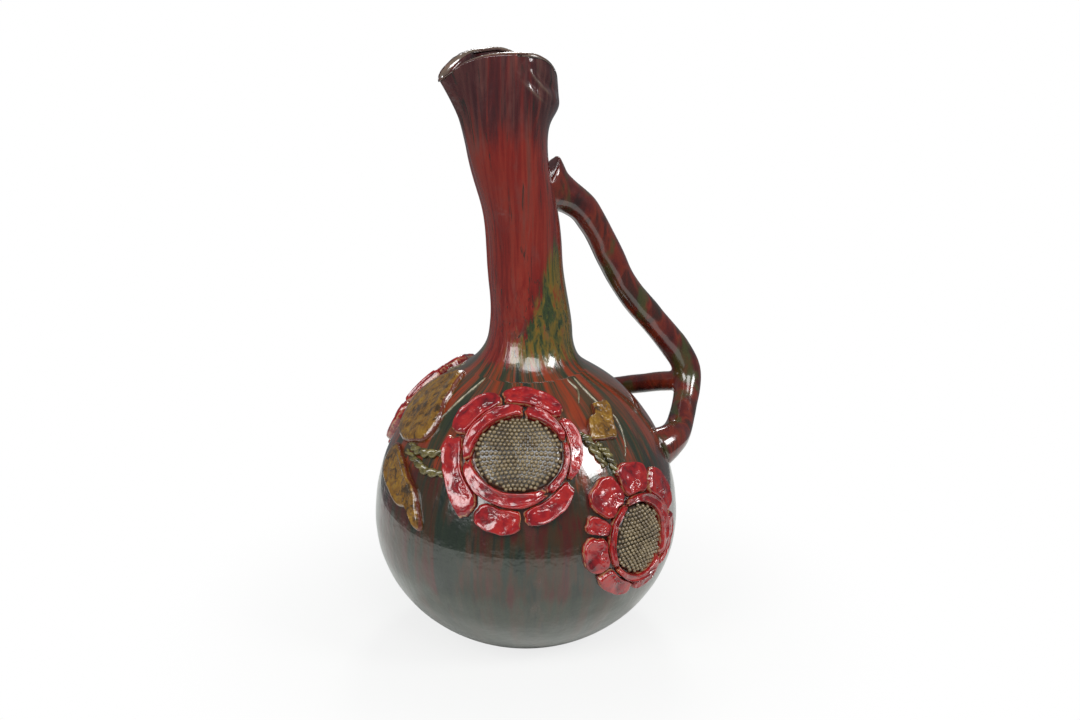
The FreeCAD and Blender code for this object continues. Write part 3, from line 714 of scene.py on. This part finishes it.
flowers = {
    "front_flower": {
        "azimuth": -118.3, "slope": 39.2, "reach": 37.0, "collar": 24.9, "shift": -1.7,
        "across": 40.6, "up": 34.6,
        "petals": [(108, 158, 0.96, 1.08, 1.0), (48, 106, 0.88, 0.97, 0.97), (-24, 46, 0.74, 0.83, 0.80),
                   (-84, -26, 0.90, 0.93, 0.83), (-128, -86, 1.02, 1.05, 0.98), (160, 230, 1.13, 1.03, 1.16)],
        "inner": [(86, 184), (20, 84), (-50, 18), (-174, -52)],
    },
    "side_flower": {
        "azimuth": -71.7, "slope": 6.6, "reach": 33.0, "collar": 20.5, "shift": 2.0,
        "across": 29.6, "up": 32.6,
        "petals": [(104, 141, 1.06, 1.16, 0.98), (65, 102, 1.04, 1.15, 1.10), (12, 63, 0.94, 1.10, 1.10),
                   (-52, 10, 0.74, 0.84, 0.93), (143, 162, 0.96, 0.97, 0.94), (164, 206, 0.90, 0.98, 0.84),
                   (-152, -102, 0.88, 0.88, 0.80), (-100, -54, 0.76, 0.78, 0.74)],
        "inner": [(108, 216), (-40, 106), (-142, -42)],
    },
    "back_flower": {
        "azimuth": 121.0, "slope": 36.0, "reach": 33.5, "collar": 22.6, "shift": 0.0,
        "across": 35.0, "up": 33.0,
        "petals": [(22, 78, 0.96, 1.02, 0.98), (80, 132, 0.98, 1.03, 1.0), (134, 200, 1.0, 0.98, 1.02),
                   (-158, -98, 1.0, 1.02, 0.96), (-96, -44, 0.97, 1.0, 0.96), (-42, 20, 0.94, 0.98, 0.95)],
        "inner": [(10, 80), (82, 150), (152, 222), (-136, -66), (-64, 8)],
    },
}
beads = {"pitch": 2.0, "rowShare": 0.87, "jitter": 0.12, "bend": 0.02, "radius": 1.0, "around": 10, "rows": 5}


def makePetal(name, flower, start, end, innerEdge, outerEdge, crown, sizes, seed):
    heart, right, up = tangentFrame(flower["azimuth"], flower["slope"])
    halfTurn = (end - start - math.degrees(crack / flower["reach"])) / 2

    def place(along, across):
        turn = math.radians((start + end) / 2 + halfTurn * along)
        low = innerEdge(turn) + crack
        high = outerEdge(turn, along)
        reach = (high + low) / 2 + (high - low) / 2 * across
        return heart + right * (reach * math.cos(turn)) + up * (reach * math.sin(turn))

    points, faces, marks = padMesh(place, petalOutline, crown, sizes, seed)
    makePiece(name + "_glazed", points, faces, crimsonGlaze, [name], marks)


def makeSeedHead(name, flower):
    # a low dome with rows of pressed beads, a bead every two millimetres
    heart, right, up = tangentFrame(flower["azimuth"], flower["slope"])
    halfAcross, halfUp = flower["across"] / 2, flower["up"] / 2

    def place(along, across):
        return heart + right * (halfAcross * along) + up * (halfUp * across)

    disc = {**petalSizes, "frill": 0.02, "border": 0.0, "dish": -0.6, "swell": 0.1, "foldDepth": 0.0,
            "crimp": 0.0}
    rim = [(math.cos(t), math.sin(t)) for t in np.arange(16) * math.pi / 8]
    points, faces, marks = padMesh(place, rim, crowns["seed"] - 1.5, disc, 3)
    marks["hollow"] = [1.0] * len(points)
    pitch = beads["pitch"]
    rowPitch = pitch * beads["rowShare"]
    jitter = beads["jitter"]
    rows = int(halfUp / rowPitch)
    spots = []
    for row in range(-rows, rows + 1):
        bow = 0.10 * pitch * math.sin(row)
        for step in range(-int(halfAcross / pitch) - 1, int(halfAcross / pitch) + 2):
            along = (step + 0.5 * (row % 2)) * pitch + random.uniform(-jitter, jitter)
            across = row * rowPitch + bow + random.uniform(-jitter, jitter)
            across += beads["bend"] * along * along * row / rows
            far = math.hypot(along / halfAcross, across / halfUp)
            if far < 0.965:
                spots.append((along / halfAcross, across / halfUp, far))
    for along, across, far in spots:
        spot = onBelly(place(along, across))
        normal = bellyNormal(spot)[0]
        side = np.cross(normal, [0, 0, 1.0])
        side /= np.linalg.norm(side)
        other = np.cross(normal, side)
        size = beads["radius"] * random.uniform(0.92, 1.06)
        ground = crowns["seed"] - 1.75 + 0.5 * (1 - far * far) + random.uniform(-0.08, 0.08)
        foot = spot[0] + normal * ground
        first = len(points)
        for r in range(beads["rows"]):
            tilt = math.pi / 2 * r / beads["rows"]
            for s in range(beads["around"]):
                t = 2 * math.pi * s / beads["around"]
                points.append(foot + (side * math.cos(t) + other * math.sin(t)) * size * math.cos(tilt)
                              + normal * size * 1.15 * math.sin(tilt))
                marks["edge"].append(0)
                marks["hollow"].append(0.75 * (1 - r / 2) if r < 2 else 0)
        points.append(foot + normal * size * 1.15)
        marks["edge"].append(0)
        marks["hollow"].append(0)
        ring = beads["around"]
        made = ringFaces(beads["rows"], ring, first)
        peak = first + beads["rows"] * ring
        made += [(peak - ring + s, peak - ring + (s + 1) % ring, peak) for s in range(ring)]
        faces += made
    makePiece(name + "_beaded", points, faces, khakiSlip, [name], marks)


for flowerName, flower in flowers.items():
    def seedEdge(turn, flower=flower):
        return 1 / math.hypot(math.cos(turn) / (flower["across"] / 2), math.sin(turn) / (flower["up"] / 2))

    def collarEdge(turn, along=0, flower=flower):
        return flower["collar"] + flower["shift"] * math.cos(turn)

    makeSeedHead(flowerName + "_seed_head", flower)
    for count, (start, end) in enumerate(flower["inner"], 1):
        makePetal(f"{flowerName}_inner_petal_{count}", flower, start, end, seedEdge, collarEdge,
                  crowns["inner"], {**innerSizes, "crimpAt": random.uniform(-0.6, 0.6)}, random.uniform(0, 50))
    for count, (start, end, first, middle, last) in enumerate(flower["petals"], 1):
        def reachEdge(turn, along, first=first, middle=middle, last=last, flower=flower):
            bow = (first + last) / 2 - middle
            return flower["reach"] * (middle + (last - first) / 2 * along + bow * along ** 2)

        makePetal(f"{flowerName}_petal_{count}", flower, start, end, collarEdge, reachEdge, crowns["petal"],
                  {**petalSizes, "crimpAt": random.uniform(-0.7, 0.7)}, random.uniform(0, 50))
    print(flowerName, "made")

leaves = {
    "large_leaf": {
        "azimuth": 173.0, "slope": 48.5, "size": 22.5,
        "outline": [(-0.06, 1.10), (0.34, 0.72), (0.60, 0.34), (0.86, 0.06), (1.02, -0.26), (0.92, -0.54),
                    (0.46, -0.84), (-0.16, -0.86), (-0.48, -0.60), (-0.70, -0.24), (-0.72, 0.18),
                    (-0.48, 0.64)],
    },
    "pointed_leaf": {
        "azimuth": -171.0, "slope": 21.5, "size": 22.0,
        "outline": [(0.94, -0.66), (0.78, -0.30), (0.54, 0.05), (0.24, 0.22), (-0.20, 0.52),
                    (-0.78, 0.74), (-1.02, 0.50), (-0.98, 0.06), (-0.30, -0.28), (0.06, -0.44),
                    (0.46, -0.42), (0.84, -0.74)],
    },
    "small_leaf": {
        "azimuth": -72.5, "slope": 47.5, "size": 11.0,
        "outline": [(0.06, 0.80), (0.46, 0.78), (0.90, 0.74), (0.80, 0.26), (0.52, -0.36), (0.30, -0.92),
                    (-0.20, -0.88), (-0.62, -0.82), (-0.98, -0.66), (-0.80, -0.10), (-0.56, 0.22),
                    (-0.16, 0.36)],
    },
}
for leafName, leaf in leaves.items():
    heart, right, up = tangentFrame(leaf["azimuth"], leaf["slope"])

    def place(along, across):
        return heart + right * (leaf["size"] * along) + up * (leaf["size"] * across)

    points, faces, marks = padMesh(place, leaf["outline"], crowns["leaf"], leafSizes, len(leafName))
    makePiece(leafName + "_glazed", points, faces, ochreGlaze, [leafName], marks)
print("leaves made")

# stems rolled from two strands, and the thin trailed lines of slip
stems = {
    "left_stem_upper": [(-176, 35.0, 0.8), (-170, 33.8, 1.0), (-162, 34.3, 1.1), (-154, 36.0, 1.0)],
    "left_stem_lower": [(-176, 31.8, 0.8), (-167, 30.6, 1.0), (-159, 28.9, 1.1), (-150, 29.6, 1.0)],
    "right_stem_upper": [(-91, 44.5, 0.8), (-85.5, 42.4, 1.1), (-83, 37.5, 1.0), (-80.5, 32, 0.9)],
    "right_stem_lower": [(-81, 40.0, 0.9), (-78.2, 37.0, 1.0), (-76.8, 33.5, 1.0), (-76, 29, 0.9)],
}
strand = {"radius": 1.9, "lift": 0.35, "share": 0.66, "offset": 0.5, "twists": 2.5, "around": 14}
for stemName, bends in stems.items():
    spots = [[*bellyPoint(a, s, strand["radius"] * strand["lift"]), t] for a, s, t in bends]
    route = openCurve(spots, 16)
    path = route[:, :3]
    normal = bellyNormal(path)
    along = np.gradient(path, axis=0)
    along /= np.linalg.norm(along, axis=1)[:, None]
    side = np.cross(along, normal)
    points, faces = [], []
    for which in (0, 1):
        turn = np.linspace(0, strand["twists"] * 2 * math.pi, len(path)) + which * math.pi
        off = strand["radius"] * strand["offset"] * route[:, 3]
        middle = path + side * (np.cos(turn) * off)[:, None] + normal * (np.sin(turn) * off * 0.7)[:, None]
        taper = 1 - 0.35 * np.abs(np.linspace(-1, 1, len(path))) ** 3
        thick = strand["radius"] * strand["share"] * route[:, 3] * taper
        rings = tubeRings(middle, thick, thick, normal, strand["around"])
        faces += tubeFaces(len(rings), strand["around"], len(points))
        points += list(rings.reshape(-1, 3))
    makePiece(stemName + "_twisted", points, faces, oliveGlaze, [stemName])

slipLines = {
    "left": [(-151, 74), (-153.4, 73.1), (-157.3, 64.8), (-161.6, 55.7), (-165.6, 46.3), (-168, 40)],
    "right": [(-66, 73), (-65.7, 68.3), (-66.9, 60.1), (-65.2, 52.6), (-61, 46), (-64, 38), (-68, 33)],
    "rightInner": [(-72.7, 71.2), (-74, 66), (-73, 61), (-79, 56)],
    "back": [(150, 72), (148, 64), (140, 58), (128, 57)],
}
line = {"radius": 0.55, "around": 10}
points, faces = [], []
for spots in slipLines.values():
    route = openCurve([bellyPoint(a, s, -0.05) for a, s in spots], 14)
    route = onBelly(route, 0.0)
    thick = line["radius"] * (1 - 0.6 * np.abs(np.linspace(-1, 1, len(route))) ** 4)
    rings = tubeRings(route, thick, thick, bellyNormal(route), line["around"])
    faces += tubeFaces(len(rings), line["around"], len(points))
    points += list(rings.reshape(-1, 3))
makePiece("trailedLines", points, faces, lineSlip, None)
print("stems and lines made")

# studio
studio = {
    "floorRadius": 0.30,
    "floorColour": "#d8dad6",
    "floorCorners": 96,
    # the floor's white grows from the first share to full between these distances in metres
    "fadeFrom": 0.06,
    "fadeTo": 0.2,
    "fadeShare": 0.80,
    "worldColour": "#b9bcc0",
    "worldStrength": 0.30,
    # place in metres, size, watts
    "lamps": [((0.62, 1.05, 1.25), (0.30, 0.42), 9.0), ((0.95, -1.25, 1.15), (0.45, 0.65), 15.0),
              ((-1.35, -0.55, 0.95), (0.70, 1.20), 16.0), ((-0.45, -1.75, 2.20), (1.40, 1.40), 34.0)],
    "lampsAimAt": (0, 0, 0.13),
    "cameraAt": (-0.2705, -0.5800, 0.340),
    "cameraTilt": 72.46,
    "cameraTurn": -25.63,
    "lens": 46.1,
    "sensor": 36,
}


def makeFloor():
    # a round table top: matt pale paint, whose white the camera sees without grey at its edge
    material = bpy.data.materials.new("palePaintedTable")
    material.use_nodes = True
    tree = material.node_tree
    paint = tree.nodes["Principled BSDF"]
    paint.inputs["Base Color"].default_value = linear(studio["floorColour"])
    paint.inputs["Roughness"].default_value = 0.7
    spot = addNode(tree, "ShaderNodeTexCoord", out="Object")
    far = addNode(tree, "ShaderNodeVectorMath", {0: spot}, 1, operation="LENGTH")
    fade = addNode(tree, "ShaderNodeMapRange",
                   {"Value": far, "From Min": studio["fadeFrom"], "From Max": studio["fadeTo"],
                    "To Min": studio["fadeShare"]}, interpolation_type="SMOOTHSTEP")
    cameraRay = addNode(tree, "ShaderNodeLightPath", out="Is Camera Ray")
    seen = addNode(tree, "ShaderNodeMath", {0: cameraRay, 1: fade}, operation="MULTIPLY")
    white = addNode(tree, "ShaderNodeEmission", {"Color": (1, 1, 1, 1), "Strength": 1.0})
    both = addNode(tree, "ShaderNodeMixShader", {0: seen, 1: paint.outputs[0], 2: white})
    tree.links.new(both, tree.nodes["Material Output"].inputs["Surface"])
    corners = studio["floorCorners"]
    angles = np.arange(corners) * 2 * math.pi / corners
    points = [(0, 0, 0)] + [(studio["floorRadius"] * math.cos(t), studio["floorRadius"] * math.sin(t), 0)
                            for t in angles]
    mesh = bpy.data.meshes.new("tableTop")
    mesh.from_pydata(points, [], [(0, 1 + k, 1 + (k + 1) % corners) for k in range(corners)])
    mesh.materials.append(material)
    table = bpy.data.objects.new("tableTop", mesh)
    bpy.context.scene.collection.objects.link(table)


def makeWorld():
    world = bpy.data.worlds.new("studio")
    bpy.context.scene.world = world
    world.use_nodes = True
    tree = world.node_tree
    soft = tree.nodes["Background"]
    soft.inputs["Color"].default_value = linear(studio["worldColour"])
    soft.inputs["Strength"].default_value = studio["worldStrength"]
    white = addNode(tree, "ShaderNodeBackground", {"Color": (1, 1, 1, 1), "Strength": 1.0})
    cameraRay = addNode(tree, "ShaderNodeLightPath", out="Is Camera Ray")
    both = addNode(tree, "ShaderNodeMixShader", {0: cameraRay, 1: soft.outputs[0], 2: white})
    tree.links.new(both, tree.nodes["World Output"].inputs["Surface"])


def makeLamps():
    aim = Vector(studio["lampsAimAt"])
    for count, (place, size, watts) in enumerate(studio["lamps"]):
        light = bpy.data.lights.new(f"softbox{count}", "AREA")
        light.shape = "RECTANGLE"
        light.size, light.size_y = size
        light.energy = watts
        lamp = bpy.data.objects.new(f"softbox{count}", light)
        lamp.location = place
        lamp.rotation_euler = (aim - Vector(place)).to_track_quat("-Z", "Y").to_euler()
        bpy.context.scene.collection.objects.link(lamp)


def makeCamera():
    lens = bpy.data.cameras.new("photoCamera")
    lens.lens = studio["lens"]
    lens.sensor_width = studio["sensor"]
    camera = bpy.data.objects.new("photoCamera", lens)
    camera.location = studio["cameraAt"]
    camera.rotation_euler = (math.radians(studio["cameraTilt"]), 0, math.radians(studio["cameraTurn"]))
    bpy.context.scene.collection.objects.link(camera)
    bpy.context.scene.camera = camera


makeFloor()
makeWorld()
makeLamps()
makeCamera()
bpy.context.scene.view_settings.view_transform = "Standard"
print("studio made")
